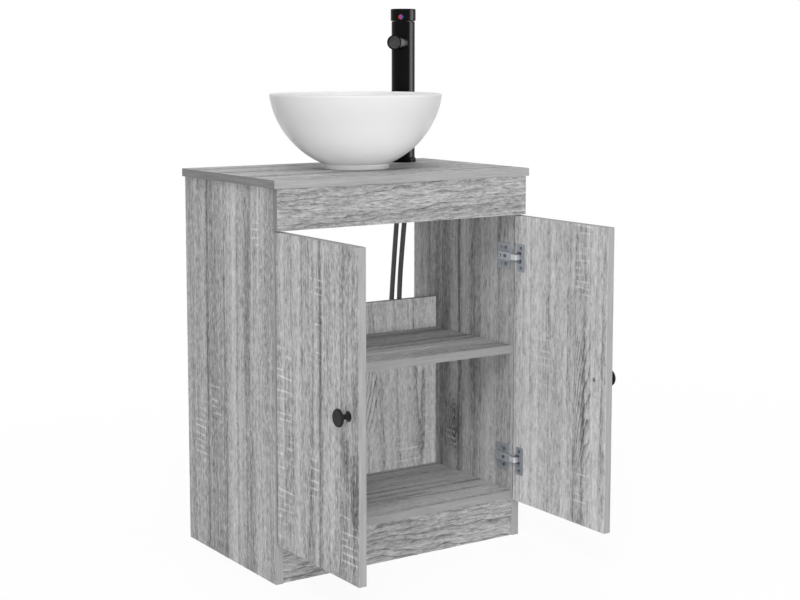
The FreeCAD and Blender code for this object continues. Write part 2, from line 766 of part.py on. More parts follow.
def build_waste():
    """A threaded drain with a guided pop-up plug, clamped through the basin and the worktop."""
    spot = (0, basin_y)
    level = d.worktop_top + d.basin_floor
    gasket_top = level + 1.2
    bore = d.waste_bore_radius
    thread = d.waste_thread_radius
    shank = d.waste_shank_radius
    flange = d.waste_flange_radius
    washer_low = underside - 3
    nut_low = washer_low - 10
    tail_top = nut_low - 2 - d.waste_tail
    keep(ring("waste_gasket_ring", shank + 0.3, flange - 1, level, gasket_top, spot), "waste_gasket")
    drop = gasket_top - d.waste_tail
    profile = [
        (bore, 0),
        (thread - 1, 0),
        (thread, 1),
        (thread, tail_top),
        (shank, tail_top),
        (shank, drop),
        (flange, drop),
        (flange, drop + 1.4),
        (flange - 3, drop + 3),
        (bore, drop + 3),
    ]
    tube = lathe("waste_tube", profile, spot + (d.waste_tail,))
    hub_low = d.waste_tail + 45
    hub_height = 15
    hub = rod("waste_hub", 7, hub_height, spot + (hub_low,), "z")
    ribs = []
    rib_width = 3
    for number in range(3):
        turn = Rotation(Vector(0, 0, 1), 90 + 120 * number)
        sideways = turn.multVec(Vector(0, -rib_width / 2, 0))
        rib = doc.addObject("Part::Box", "waste_rib_%d" % number)
        bind(rib, "Length", bore + 1.5)
        bind(rib, "Width", rib_width)
        bind(rib, "Height", hub_height)
        place(rib, (sideways.x, basin_y + sideways.y, hub_low), turn)
        ribs.append(rib)
    spider = fuse("waste_spider", [tube, hub] + ribs)
    stem = 4
    guide = rod("waste_guide", stem + FIT, hub_height, spot + (hub_low,), "z")
    keep(cut("waste_drilled", spider, [guide]), "waste_body")

    keep(ring("waste_washer_ring", shank + FIT, 32, washer_low, underside, spot), "waste_washer")
    nut = pad("waste_nut_blank", hexagon(52), 10, spot + (nut_low,))
    thread_hole = rod("waste_nut_thread", shank + FIT, 10, spot + (nut_low,), "z")
    keep(cut("waste_nut_tapped", nut, [thread_hole]), "waste_nut")

    plug_face = gasket_top + 3.3
    reach = plug_face - hub_low + 12
    cap = 27
    edge = 1.5
    dome = 6
    plug = [
        (0, 0),
        (stem, 0),
        (stem, reach),
        (cap, reach),
        (cap, reach + edge, (cap * cap + dome * dome) / (2 * dome)),
        (0, reach + edge + dome),
    ]
    keep(lathe("waste_plug_turned", plug, spot + (plug_face - reach,)), "waste_plug")


def tap_place(forward, across, level):
    """A spot given by its distances along and across the spout, and its height."""
    step = spout_way * forward + across_way * across
    return (d.tap_from_middle + step.x, tap_y + step.y, level)


def build_tap():
    axis = (d.tap_from_middle, tap_y)
    base_top = d.worktop_top + 10
    roof = base_top + 25
    keep(lathe("tap_base_turned", [
        (18, 0),
        (d.tap_radius + 2.25, 0),
        (d.tap_radius + 2.25, 7),
        (d.tap_radius + 0.5, 10),
        (18, 10),
    ], axis + (d.worktop_top,)), "tap_base_ring")

    socket = 17.6
    chamber = d.tap_top - 48.5
    core = lathe("tap_column", [
        (0, roof - base_top),
        (18, roof - base_top),
        (18, 0),
        (d.tap_radius, 0),
        (d.tap_radius, d.tap_top - base_top - 1.2),
        (d.tap_radius - 1.2, d.tap_top - base_top),
        (socket, d.tap_top - base_top),
        (socket, chamber - base_top),
        (0, chamber - base_top),
    ], axis + (base_top,))
    spout_root = 19.5
    seat = rod("spout_seat", d.spout_radius + FIT, 10, tap_place(spout_root, 0, d.spout_level), spout_turn)
    stud_top = roof + 15
    stud_hole = rod("stud_hole", STUD["radius"] + FIT, 15.5, tap_place(STUD["forward"], 0, roof), "z")
    keep(cut("tap_column_drilled", core, [seat, stud_hole]), "tap_body")

    length = d.spout_reach - spout_root
    bore = d.spout_bore_radius
    aerator_depth = 6
    aerator_length = 8
    step = length - aerator_depth - aerator_length
    keep(lathe("spout_turned", [
        (bore - 2.3, 12),
        (bore - 2.3, step),
        (bore, step),
        (bore, length),
        (d.spout_radius - 0.6, length),
        (d.spout_radius, length - 0.6),
        (d.spout_radius, 0),
        (0, 0),
        (0, 12),
    ], tap_place(spout_root, 0, d.spout_level), spout_turn), "spout")
    keep(lathe("aerator_turned", [
        (0, 0),
        (bore - FIT, 0),
        (bore - FIT, aerator_length),
        (bore - 1.6, aerator_length),
        (bore - 2.2, aerator_length - 1.2),
        (0, aerator_length - 1.2),
    ], tap_place(spout_root + step, 0, d.spout_level), spout_turn), "aerator")

    stem = 4.5
    shoulder = d.tap_top - 4.5
    keep(lathe("cartridge_turned", [
        (0, 0),
        (socket - 0.1, 0),
        (socket - 0.1, shoulder - chamber - 4),
        (11, shoulder - chamber - 4),
        (11, shoulder - chamber),
        (stem, shoulder - chamber),
        (stem, d.cap_bottom + 10 - chamber),
        (0, d.cap_bottom + 10 - chamber),
    ], axis + (chamber,)), "cartridge")
    ring_low = shoulder - 4
    keep(ring("cartridge_ring_turned", 11.1, socket - FIT, ring_low, d.tap_top + 1, axis), "cartridge_ring")

    rise = d.cap_top - d.cap_bottom
    cap = lathe("cap_turned", [
        (0, 12.3),
        (stem + FIT, 12.3),
        (stem + FIT, 6),
        (20.5, 6),
        (20.5, 0),
        (d.cap_radius - 1.3, 0),
        (d.cap_radius, 1.3),
        (d.cap_radius, rise - 1.3),
        (d.cap_radius - 1.3, rise),
        (d.cap_radius - 2.8, rise),
        (d.cap_radius - 3.6, rise - 0.8),
        (0, rise - 0.8),
    ], axis + (d.cap_bottom,))
    mark = 5
    mark_depth = 3
    mark_seat = tap_place(d.cap_radius - mark_depth, 0, d.cap_bottom + 7.6)
    pocket = rod("mark_pocket", mark + FIT, mark_depth + 2, mark_seat, spout_turn)
    keep(cut("cap_drilled", cap, [pocket]), "tap_handle")
    for label, upright in (("cold_mark", Vector(0, 0, -1)), ("hot_mark", Vector(0, 0, 1))):
        turn = Rotation(upright, spout_way.cross(upright), spout_way, "ZXY")
        profile = [
            (0, 0),
            (mark, 0),
            (mark, mark_depth - 0.4),
            (mark - 0.4, mark_depth),
            (0, mark_depth + 0.15),
        ]
        half_disc = lathe(label + "_turned", profile, mark_seat, turn)
        half_disc.Group[-1].Angle = 180
        keep(half_disc, label)

    stud_foot = underside - 20
    stud_spot = tap_place(STUD["forward"], 0, stud_foot)
    keep(rod("stud_rod", STUD["radius"], stud_top - stud_foot, stud_spot, "z"), "tap_stud")
    layers = (("tap_pad", underside - 3, 3), ("tap_horseshoe", underside - 5.5, 2.5))
    for label, low, thick in layers:
        disc = rod(label + "_disc", 25, thick, axis + (low,), "z")
        slot = doc.addObject("Part::Box", label + "_slot")
        slot_half = 15
        bind(slot, "Length", 32)
        bind(slot, "Width", 2 * slot_half)
        bind(slot, "Height", thick)
        place(slot, tap_place(-26, -slot_half, low), Rotation(Vector(0, 0, 1), SPOUT_HEADING))
        hole = rod(label + "_hole", STUD["radius"] + FIT, thick, tap_place(STUD["forward"], 0, low), "z")
        keep(cut(label + "_cut", disc, [slot, hole]), label)
    nut_height = 6
    nut_low = underside - 5.5 - nut_height
    nut_spot = tap_place(STUD["forward"], 0, nut_low)
    nut = pad("tap_nut_blank", hexagon(10), nut_height, nut_spot)
    thread = rod("tap_nut_thread", STUD["radius"] + FIT, nut_height, nut_spot, "z")
    keep(cut("tap_nut_tapped", nut, [thread]), "tap_nut")
    return roof


# Hose route below the tap: height, lean to the rear and half the spread of the pair

HOSE_ROUTE = [
    (760, 0.0, 8.2),
    (695, 0.0, 8.2),
    (620, 7.0, 8.1),
    (545, 17.5, 7.6),
    (470, 26.5, 7.4),
    (395, 31.5, 9.0),
    (325, 34.0, 12.5),
    (265, 34.0, 12.5),
]


def rounded_path(spots):
    """Straight runs joined by tangent arcs, each as large as its two runs allow."""
    edges = []
    radii = []
    here = spots[0]
    for before, corner, after in zip(spots, spots[1:], spots[2:]):
        back = (before - corner).normalize()
        ahead = (after - corner).normalize()
        half_turn = (math.pi - back.getAngle(ahead)) / 2
        shorter = min((before - corner).Length, (after - corner).Length)
        trim = 0.45 * shorter
        radius = trim / math.tan(half_turn)
        start = corner + back * trim
        end = corner + ahead * trim
        inside = (back + ahead).normalize()
        middle = corner + inside * (radius / math.cos(half_turn) - radius)
        edges.append(Part.LineSegment(here, start).toShape())
        edges.append(Part.Arc(start, middle, end).toShape())
        radii.append(radius)
        here = end
    edges.append(Part.LineSegment(here, spots[-1]).toShape())
    return Part.Wire(edges), radii


def build_hoses(roof):
    for label, sign in (("hot", -1), ("cold", 1)):
        spots = []
        for height, lean, spread in HOSE_ROUTE:
            x, y, z = tap_place(0, sign * spread, height)
            spots.append(Vector(float(x), float(y) + lean, z))
        spots[0].z = float(roof)
        path, radii = rounded_path(spots)
        start_circle = Part.Circle(spots[0], spots[1] - spots[0], float(d.hose_radius)).toShape()
        tube = path.makePipeShell([Part.Wire([start_circle])], True, False)
        hose = doc.addObject("Part::Feature", label + "_hose")
        hose.Shape = tube
        keep(hose, label + "_hose")
        section = math.pi * float(d.hose_radius) ** 2
        print("%s hose: length %.1f, volume ratio %.4f, least radius %.0f"
              % (label, path.Length, tube.Volume / (section * path.Length), min(radii)))
        build_hose_end(label, spots[-1], spots[-1] - spots[-2])


def build_hose_end(label, tip, way):
    """A crimped sleeve with a collar, and the union nut that hangs on it."""
    turn = Rotation(Vector(0, 0, 1), way)
    spot = (tip.x, tip.y, tip.z)
    sleeve = 16
    neck = 25
    collar = 1.8
    crimp = d.hose_radius + 1.1
    tube = d.hose_radius + 0.2
    flare = d.hose_radius + 1.9
    bore = 3.4
    keep(lathe(label + "_sleeve", [
        (bore, 0.5),
        (crimp - 0.6, 0),
        (crimp, 0.6),
        (crimp, sleeve - 0.6),
        (crimp - 0.6, sleeve),
        (tube, sleeve),
        (tube, neck - collar),
        (flare, neck - collar),
        (flare, neck),
        (bore, neck),
    ], spot, turn), label + "_hose_sleeve")
    nut_start = sleeve + 1
    nut_height = 17
    thread = 7.5
    step = tip + turn.multVec(Vector(0, 0, nut_start))
    nut = pad(label + "_nut_blank", hexagon(19), nut_height, (step.x, step.y, step.z), turn=turn)
    hole = lathe(label + "_nut_bore", [
        (0, 0),
        (tube + 0.1, 0),
        (tube + 0.1, neck - collar - nut_start),
        (thread - 0.25, neck - collar - nut_start),
        (thread - 0.25, neck - nut_start + 0.2),
        (thread, neck - nut_start + 0.2),
        (thread, nut_height),
        (0, nut_height),
    ], (step.x, step.y, step.z), turn)
    keep(cut(label + "_nut_tapped", nut, [hole]), label + "_hose_nut")


def check_and_write():
    doc.recompute()
    for thing in doc.Objects:
        if "Invalid" in thing.State or "Error" in thing.State:
            raise RuntimeError("%s did not build: %s" % (thing.Name, thing.State))
    os.makedirs("parts", exist_ok=True)
    for part in parts:
        shape = part.Shape
        if shape.isNull() or not shape.isValid() or not shape.Solids:
            raise RuntimeError("%s has no sound solid" % part.Label)
    for part in parts:
        part.Shape.exportStep("parts/%s.step" % part.Label)
    print("%d sub-parts, %d solids" % (len(parts), sum(len(part.Shape.Solids) for part in parts)))


build_boards()
build_board_fittings()
build_doors()
build_hinges()
build_basin()
build_waste()
build_hoses(build_tap())
check_and_write()
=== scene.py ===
import math

import bmesh
import bpy
from mathutils import Matrix, Vector


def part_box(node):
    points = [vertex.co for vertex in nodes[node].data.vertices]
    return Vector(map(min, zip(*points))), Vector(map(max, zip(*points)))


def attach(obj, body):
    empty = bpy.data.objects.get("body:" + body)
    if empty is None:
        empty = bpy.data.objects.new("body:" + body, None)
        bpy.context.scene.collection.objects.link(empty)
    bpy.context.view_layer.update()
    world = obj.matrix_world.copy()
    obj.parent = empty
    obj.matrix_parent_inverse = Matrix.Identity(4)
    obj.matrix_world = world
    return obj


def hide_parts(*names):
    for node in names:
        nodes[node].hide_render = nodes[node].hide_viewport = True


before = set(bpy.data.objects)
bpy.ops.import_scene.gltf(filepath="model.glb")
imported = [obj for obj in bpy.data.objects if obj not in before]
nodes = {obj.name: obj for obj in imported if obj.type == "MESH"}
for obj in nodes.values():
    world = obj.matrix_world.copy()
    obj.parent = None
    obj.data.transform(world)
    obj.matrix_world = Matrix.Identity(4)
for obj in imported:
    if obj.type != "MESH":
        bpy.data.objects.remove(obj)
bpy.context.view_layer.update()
scene = bpy.context.scene
print("frame:", len(nodes), "nodes")

# camera, at the photograph's viewing angle

lens = {
    "spot": (-1.5926, -2.4061, 0.9360),
    "yaw": 33.758,
    "pitch": 6.516,
    "focal": 70.478,
    "sensor": 36.0,
    "shiftY": -0.08,
}


def setCamera():
    cameraData = bpy.data.cameras.new("camera")
    cameraData.lens = lens["focal"]
    cameraData.sensor_width = lens["sensor"]
    cameraData.shift_y = lens["shiftY"]
    camera = bpy.data.objects.new("camera", cameraData)
    camera.location = lens["spot"]
    camera.rotation_euler = (math.radians(90 - lens["pitch"]), 0.0, -math.radians(lens["yaw"]))
    scene.collection.objects.link(camera)
    scene.camera = camera


setCamera()
print("camera set")


# shader sockets with arithmetic, and one way to add any other node

class Wire:
    def __init__(self, tree, socket):
        self.tree = tree
        self.socket = socket

    @staticmethod
    def node(tree, kind, settings=None, links=None, out=0):
        made = tree.nodes.new(kind)
        for name, value in (settings or {}).items():
            if name == "stops":
                setStops(made.color_ramp, value)
            else:
                setattr(made, name, value)
        for name, value in (links or {}).items():
            if isinstance(value, Wire):
                tree.links.new(value.socket, made.inputs[name])
            else:
                made.inputs[name].default_value = value
        return Wire(tree, made.outputs[out]) if made.outputs else None

    def out(self, name):
        return Wire(self.tree, self.socket.node.outputs[name])

    def math(self, operation, other=None, swapped=False):
        values = [self] if other is None else [other, self] if swapped else [self, other]
        return Wire.node(self.tree, "ShaderNodeMath", {"operation": operation}, dict(enumerate(values)))

    def __add__(self, other):
        return self.math("ADD", other)

    def __sub__(self, other):
        return self.math("SUBTRACT", other)

    def __mul__(self, other):
        return self.math("MULTIPLY", other)

    def __truediv__(self, other):
        return self.math("DIVIDE", other)

    def __radd__(self, other):
        return self.math("ADD", other, True)

    def __rsub__(self, other):
        return self.math("SUBTRACT", other, True)

    def __rmul__(self, other):
        return self.math("MULTIPLY", other, True)

    def __abs__(self):
        return self.math("ABSOLUTE")

    def step(self, low, high):
        return Wire.node(self.tree, "ShaderNodeMapRange", {"interpolation_type": "SMOOTHSTEP"},
                         {"Value": self, "From Min": low, "From Max": high})


def setStops(ramp, stops):
    while len(ramp.elements) > 1:
        ramp.elements.remove(ramp.elements[-1])
    ramp.elements[0].position, ramp.elements[0].color = stops[0]
    for position, color in stops[1:]:
        ramp.elements.new(position).color = color


def grey(level):
    return (level, level, level, 1.0)


def newMaterial(name):
    material = bpy.data.materials.new(name)
    material.use_nodes = True
    material.node_tree.nodes.clear()
    return material, material.node_tree


def surface(tree, links, settings=None):
    shader = Wire.node(tree, "ShaderNodeBsdfPrincipled", settings, links)
    Wire.node(tree, "ShaderNodeOutputMaterial", None, {"Surface": shader})


def mixColor(tree, factor, first, second):
    return Wire.node(tree, "ShaderNodeMix", {"data_type": "RGBA"}, {0: factor, 6: first, 7: second}, out=2)


def bump(tree, height, strength, distance):
    return Wire.node(tree, "ShaderNodeBump", None,
                     {"Strength": strength, "Distance": distance, "Height": height})


def vectorMath(tree, operation, first, second, out=0):
    return Wire.node(tree, "ShaderNodeVectorMath", {"operation": operation}, {0: first, 1: second}, out=out)


def objectCoords(tree):
    return Wire.node(tree, "ShaderNodeTexCoord", out="Object")


def surfaceWay(tree):
    return Wire.node(tree, "ShaderNodeTexCoord", out="Normal")


def noise(tree, spot, scale, detail=2.0, roughness=0.5):
    return Wire.node(tree, "ShaderNodeTexNoise", None,
                     {"Vector": spot, "Scale": scale, "Detail": detail, "Roughness": roughness})


def dress(name, material):
    mesh = nodes[name].data
    mesh.materials.clear()
    mesh.materials.append(material)
    for polygon in mesh.polygons:
        polygon.material_index = 0


softEdge = {"width": 0.0005, "segments": 2, "angle": 40.0}


def soften(name):
    bevel = nodes[name].modifiers.new("edge", "BEVEL")
    bevel.width = softEdge["width"]
    bevel.segments = softEdge["segments"]
    bevel.limit_method = "ANGLE"
    bevel.angle_limit = math.radians(softEdge["angle"])
    bevel.harden_normals = True


# grey oak decor: along is the grain, across runs over it, and face is the board's thin way
# tone lightens or darkens the whole board: partly its own tone, partly painted light and shade that
# even out how much light each board gets (lighter: the back panel's front, the right door's inside,
# the bottom; darker: the apron and plinth); behind is added to it on the face towards plus,
# taking that painted light off the far face again
# shine is the gloss, edge the level of the banded edges, end that of the bands at the grain's ends
# heart is the middle of the growth rings across the board, deep its depth, lean how fast that changes
# tilt turns the rings, rings is their strength, gap their spacing, sharp their thinness
# wave is how much the rings wander
# speck is the strength of fine marks, calm of broad streaks, patch of stray saw marks, saw of all saw marks
# bands: from, to, change of tone
# streaks: place across, half width, depth
# saws: place across, height, half width, half height
# flames: the same, and the middle of the arcs; flame is their strength
# knots: place across, height, size; knot is their strength

boards = {
    "side_panel_left": {
        "along": "Z", "across": "Y", "face": "X", "seed": 1.3, "tone": -0.055,
        "heart": -0.3, "deep": 0.05, "lean": 0.04, "rings": 0.6, "saw": 0.24,
        "bands": [(0.15, 0.226, -0.08), (0.07, 0.15, 0.04), (0.0, 0.045, 0.04)],
        "streaks": [(0.151, 0.0035, 0.34), (0.057, 0.005, 0.2), (0.072, 0.002, 0.2), (0.222, 0.003, 0.16)],
        "saws": [(0.19, 0.30, 0.02, 0.045), (0.255, 0.22, 0.02, 0.06), (0.03, 0.615, 0.012, 0.03)],
    },
    "side_panel_right": {
        "along": "Z", "across": "Y", "face": "X", "seed": 4.1, "tone": 0.0,
        "heart": 0.6, "deep": 0.05, "lean": 0.07, "rings": 0.4, "speck": 0.75,
        "bands": [(0.144, 0.26, -0.1), (0.02, 0.09, 0.03)],
        "streaks": [(0.148, 0.004, 0.32), (0.095, 0.003, 0.16), (0.075, 0.002, 0.12)],
        "saws": [(0.172, 0.145, 0.018, 0.035)],
        "knots": [(0.162, 0.186, 0.018)], "knot": 0.42,
    },
    "door_left": {
        "along": "Z", "across": "Y", "face": "X", "seed": 7.7, "tone": -0.075,
        "heart": -0.4, "deep": 0.03, "lean": 0.05, "rings": 0.6, "saw": 0.26,
        "bands": [(-0.1, -0.045, 0.05), (-0.196, -0.184, -0.07), (-0.3, -0.25, -0.03)],
        "streaks": [(-0.093, 0.003, 0.2), (-0.187, 0.0045, 0.26), (-0.078, 0.002, 0.12),
                    (-0.262, 0.004, 0.14)],
        "saws": [(-0.066, 0.27, 0.028, 0.17), (-0.183, 0.5, 0.012, 0.07), (-0.166, 0.225, 0.014, 0.035),
                 (-0.28, 0.14, 0.024, 0.06)],
        "knots": [(-0.296, 0.235, 0.02), (-0.27, 0.29, 0.011)],
    },
    # the right door's inside face is lifted as painted light; behind takes it off the outside face
    "door_right": {
        "along": "Z", "across": "Y", "face": "X", "seed": 9.2, "tone": 0.145, "behind": -0.215,
        "heart": -0.5, "deep": 0.02, "lean": 0.05, "rings": 0.8, "speck": 1.15, "saw": 0.22,
        "bands": [(-0.115, -0.05, 0.05), (-0.15, -0.142, -0.05), (-0.25, -0.2, -0.08)],
        "streaks": [(-0.144, 0.003, 0.16), (-0.09, 0.003, 0.14), (-0.246, 0.005, 0.24),
                    (-0.262, 0.003, 0.2)],
        "saws": [(-0.124, 0.36, 0.024, 0.045), (-0.24, 0.57, 0.02, 0.07), (-0.24, 0.14, 0.02, 0.04)],
        "flames": [(-0.244, 0.31, 0.024, 0.13, -0.276)],
    },
    # the back panel's front is lifted as painted light inside the cabinet; behind takes it off the rear face
    "back_panel": {
        "along": "Z", "across": "X", "face": "Y", "seed": 12.6, "tone": 0.29, "behind": -0.27,
        "heart": 0.02, "deep": 0.03, "lean": 0.1, "rings": 1.3, "speck": 1.3, "flame": 0.7,
        "streaks": [(0.152, 0.003, 0.2), (0.2, 0.004, 0.16)],
        "saws": [(0.2, 0.13, 0.04, 0.03), (0.1, 0.44, 0.03, 0.012)],
        "flames": [(0.09, 0.27, 0.025, 0.1, 0.13)],
    },
    "worktop": {
        "along": "X", "across": "Y", "face": "Z", "seed": 15.4, "tone": 0.01, "shine": 0.03,
        "heart": 0.09, "deep": 0.03, "lean": 0.05, "edge": 0.282, "end": 0.2,
        "streaks": [(-0.005, 0.004, 0.3), (0.06, 0.006, 0.34), (0.12, 0.003, 0.24), (0.26, 0.004, 0.3)],
        "patch": 0.0,
    },
    # the apron is darkened as painted shade, against the strong light on the front faces
    "front_apron": {
        "along": "X", "across": "Z", "face": "Y", "seed": 18.9, "tone": -0.215,
        "heart": 0.3, "deep": 0.02, "lean": 0.07, "rings": 0.95, "end": 0.19,
        "tilt": -0.06, "gap": 0.009, "sharp": 5.0, "wave": 0.7, "speck": 0.7, "patch": 0.0, "calm": 0.45,
    },
    # the plinth is darkened as painted shade, as the apron is
    "plinth": {
        "along": "X", "across": "Z", "face": "Y", "seed": 21.5, "tone": -0.16,
        "heart": -0.3, "deep": 0.01, "lean": -0.1, "rings": 1.3,
        "tilt": 0.03, "gap": 0.014, "sharp": 5.0, "wave": 0.8, "speck": 0.6, "patch": 0.0, "calm": 0.7,
    },
    # the bottom is lifted as painted light inside the cabinet
    "bottom_panel": {
        "along": "X", "across": "Y", "face": "Z", "seed": 24.8, "tone": 0.1,
        "heart": 0.0, "deep": 0.05, "lean": 0.06, "rings": 1.1, "speck": 0.7,
        "streaks": [(0.07, 0.005, 0.4), (0.1, 0.003, 0.25), (0.18, 0.004, 0.35)],
    },
    "shelf": {
        "along": "X", "across": "Y", "face": "Z", "seed": 27.2, "tone": -0.04,
        "heart": 0.2, "deep": 0.05, "lean": 0.06, "rings": 0.7, "speck": 0.65,
        "streaks": [(0.11, 0.005, 0.25), (0.2, 0.004, 0.2)],
    },
    "rear_rail": {
        "along": "X", "across": "Z", "face": "Y", "seed": 30.7, "tone": 0.0,
        "heart": 0.66, "deep": 0.05, "lean": 0.06,
    },
}
oak = {
    "stops": [(0.0, grey(0.07)), (0.3, grey(0.21)), (0.5, grey(0.36)), (0.66, grey(0.46)),
              (1.0, grey(0.66))],
    "base": 0.57,
    "shine": 0.14,
    "rough": 0.55,
    "roughVary": 0.25,
    "seedStep": 3.1,
    "poreFrom": 0.08,
    "poreTo": 0.18,
    "behindTurn": 0.1,
}
toneShare = {"wide": 0.6, "middle": 0.55, "fleck": 0.4, "fibre": 0.45, "pore": 0.18}
relief = {"fibre": 0.6, "speck": 0.5, "rings": 0.3, "pore": 0.3, "strength": 0.2, "height": 0.0005}

# noise layers of the wood: size across the grain, size along it, detail, roughness, place in the noise

grains = {
    "bend": (0.12, 0.9, 2.0, 0.5, 1.0),
    "drift": (0.14, 0.5, 2.0, 0.5, 2.0),
    "roll": (0.03, 0.9, 3.0, 0.5, 3.0),
    "ripple": (0.008, 0.2, 2.0, 0.5, 4.0),
    "wide": (0.045, 2.2, 2.0, 0.5, 5.0),
    "middle": (0.012, 0.6, 3.0, 0.6, 6.0),
    "speck": (0.0035, 0.0125, 3.0, 0.7, 7.0),
    "fibre": (0.0013, 0.03, 2.0, 0.6, 8.0),
    "pore": (0.0032, 0.03, 2.0, 0.6, 9.0),
    "sawBend": (0.14, 0.05, 2.0, 0.5, 10.0),
    "sawPatch": (0.024, 0.13, 2.0, 0.5, 12.0),
    "sway": (0.2, 0.3, 2.0, 0.5, 13.0),
    "streak": (0.1, 0.16, 2.0, 0.5, 14.0),
    "knot": (0.02, 0.05, 2.0, 0.5, 15.0),
    "ragged": (0.03, 0.05, 2.0, 0.5, 16.0),
    "flame": (0.03, 0.15, 2.0, 0.5, 17.0),
    "fleck": (0.0075, 0.04, 2.0, 0.6, 18.0),
    "swell": (0.05, 0.11, 2.0, 0.5, 19.0),
}


def grain(wood, name, shift=0.0):
    acrossSize, alongSize, detail, roughness, layer = grains[name]
    place = Wire.node(wood["tree"], "ShaderNodeCombineXYZ", None, {
        0: wood["across"] / acrossSize,
        1: wood["along"] / alongSize,
        2: wood["seed"] + (layer + shift),
    })
    return noise(wood["tree"], place, 1.0, detail, roughness) - 0.5


# growth rings: the bends are in metres, the ripple, roll and swell in rings

ringForm = {"gap": 0.023, "depth": 0.32, "sharp": 2.4, "faintest": 0.15,
            "bend": 0.04, "drift": 0.03, "ripple": 0.5, "roll": 2.4, "swell": 4.0}


def growthRings(wood):
    board = wood["board"]
    reach = wood["across"] - board["heart"] + wood["along"] * board.get("tilt", 0.0)
    reach = reach + grain(wood, "bend") * ringForm["bend"]
    rise = wood["along"] * board["lean"] + board["deep"] + grain(wood, "drift") * ringForm["drift"]
    radius = (reach * reach + rise * rise).math("SQRT")
    ring = radius / board.get("gap", ringForm["gap"]) + grain(wood, "ripple") * ringForm["ripple"]
    ring = ring + grain(wood, "roll") * ringForm["roll"]
    ring = ring + grain(wood, "swell") * (board.get("wave", 0.0) * ringForm["swell"])
    late = ring.math("FRACT").math("POWER", board.get("sharp", ringForm["sharp"]))
    strength = Wire.node(wood["tree"], "ShaderNodeTexWhiteNoise", {"noise_dimensions": "1D"},
                         {"W": ring.math("FLOOR") + board["seed"]})
    return late * (ringForm["faintest"] + strength * (1.0 - ringForm["faintest"]))


# what the sheet's pattern shows in one place only; core and reach are shares of a mark's half size

bandForm = {"sway": 0.012, "soft": 0.003}
streakForm = {"core": 0.3, "reach": 1.4, "swing": 2.0, "level": 0.6}
knotForm = {"tall": 2.4, "ragged": 0.8, "turns": 3.2, "thin": 2.0, "core": 0.2, "reach": 1.9,
            "shade": 0.16, "curl": 0.26}
flameForm = {"bend": 70.0, "gap": 0.042, "ragged": 2.0, "thin": 3.0, "core": 0.7, "reach": 1.1,
             "strength": 0.45, "lift": 0.04}


def addBands(board, sway, tone):
    soft = bandForm["soft"]
    for low, high, change in board.get("bands", []):
        inside = sway.step(low - soft, low + soft) - sway.step(high - soft, high + soft)
        tone = tone + inside * change
    return tone


def addStreaks(wood, sway, tone):
    for place, halfWidth, depth in wood["board"].get("streaks", []):
        core, reach = halfWidth * streakForm["core"], halfWidth * streakForm["reach"]
        line = 1.0 - abs(sway - place).step(core, reach)
        broken = grain(wood, "streak", place) * streakForm["swing"] + streakForm["level"]
        tone = tone - line * broken.math("MAXIMUM", 0.0) * depth
    return tone


def addKnots(wood, sway, tone):
    board = wood["board"]
    for place, height, size in board.get("knots", []):
        aside = (sway - place) / size
        above = (wood["along"] - height) / (size * knotForm["tall"])
        away = (aside * aside + above * above).math("SQRT") + grain(wood, "knot") * knotForm["ragged"]
        curl = (away * knotForm["turns"]).math("FRACT").math("POWER", knotForm["thin"])
        dark = knotForm["shade"] + curl * board.get("knot", knotForm["curl"])
        tone = tone - (1.0 - away.step(knotForm["core"], knotForm["reach"])) * dark
    return tone


def addFlames(wood, sway, tone):
    board = wood["board"]
    strength = board.get("flame", flameForm["strength"])
    for place, height, halfWidth, halfHeight, middleLine in board.get("flames", []):
        aside = sway - middleLine
        above = wood["along"] - height
        off = (abs(sway - place) / halfWidth).math("MAXIMUM", abs(above) / halfHeight)
        inside = 1.0 - off.step(flameForm["core"], flameForm["reach"])
        arc = (above + aside * aside * flameForm["bend"]) / flameForm["gap"]
        arc = arc + grain(wood, "flame") * flameForm["ragged"]
        line = arc.math("FRACT").math("POWER", flameForm["thin"])
        tone = tone - inside * (line * strength - flameForm["lift"])
    return tone


# saw marks: short pale dashes in rows across the grain, inside ragged patches

sawForm = {"gap": 0.0125, "length": 0.06, "bend": 1.2, "core": 0.04, "reach": 0.22, "rowStep": 7.3,
           "layer": 11.0, "dashFrom": 0.42, "dashTo": 0.56, "strength": 0.32, "shade": 0.04,
           "patch": 0.5, "patchFrom": 0.1, "patchTo": 0.2, "patchCore": 0.7, "patchReach": 1.2}


def addSaws(wood, sway, tone):
    board = wood["board"]
    stray = grain(wood, "sawPatch").step(sawForm["patchFrom"], sawForm["patchTo"])
    patch = stray * board.get("patch", sawForm["patch"])
    ragged = grain(wood, "ragged")
    for place, height, halfWidth, halfHeight in board.get("saws", []):
        off = (abs(sway - place) / halfWidth).math("MAXIMUM", abs(wood["along"] - height) / halfHeight)
        off = off + ragged
        patch = patch.math("MAXIMUM", 1.0 - off.step(sawForm["patchCore"], sawForm["patchReach"]))
    count = wood["along"] / sawForm["gap"] + grain(wood, "sawBend") * sawForm["bend"]
    row = count.math("FLOOR")
    line = 1.0 - abs(count - row - 0.5).step(sawForm["core"], sawForm["reach"])
    dashSpot = Wire.node(wood["tree"], "ShaderNodeCombineXYZ", None, {
        0: wood["across"] / sawForm["length"],
        1: row * sawForm["rowStep"],
        2: wood["seed"] + sawForm["layer"],
    })
    dash = noise(wood["tree"], dashSpot, 1.0, 1.0).step(sawForm["dashFrom"], sawForm["dashTo"])
    return tone + line * dash * patch * board.get("saw", sawForm["strength"]) - patch * sawForm["shade"]


# banded edges: plainer than the faces, with their own level where they cover the grain's ends

bandEdge = {"level": 0.27, "grainThin": 0.0022, "grainLong": 0.07, "vary": 0.16,
            "turnFrom": 0.6, "turnTo": 0.8}


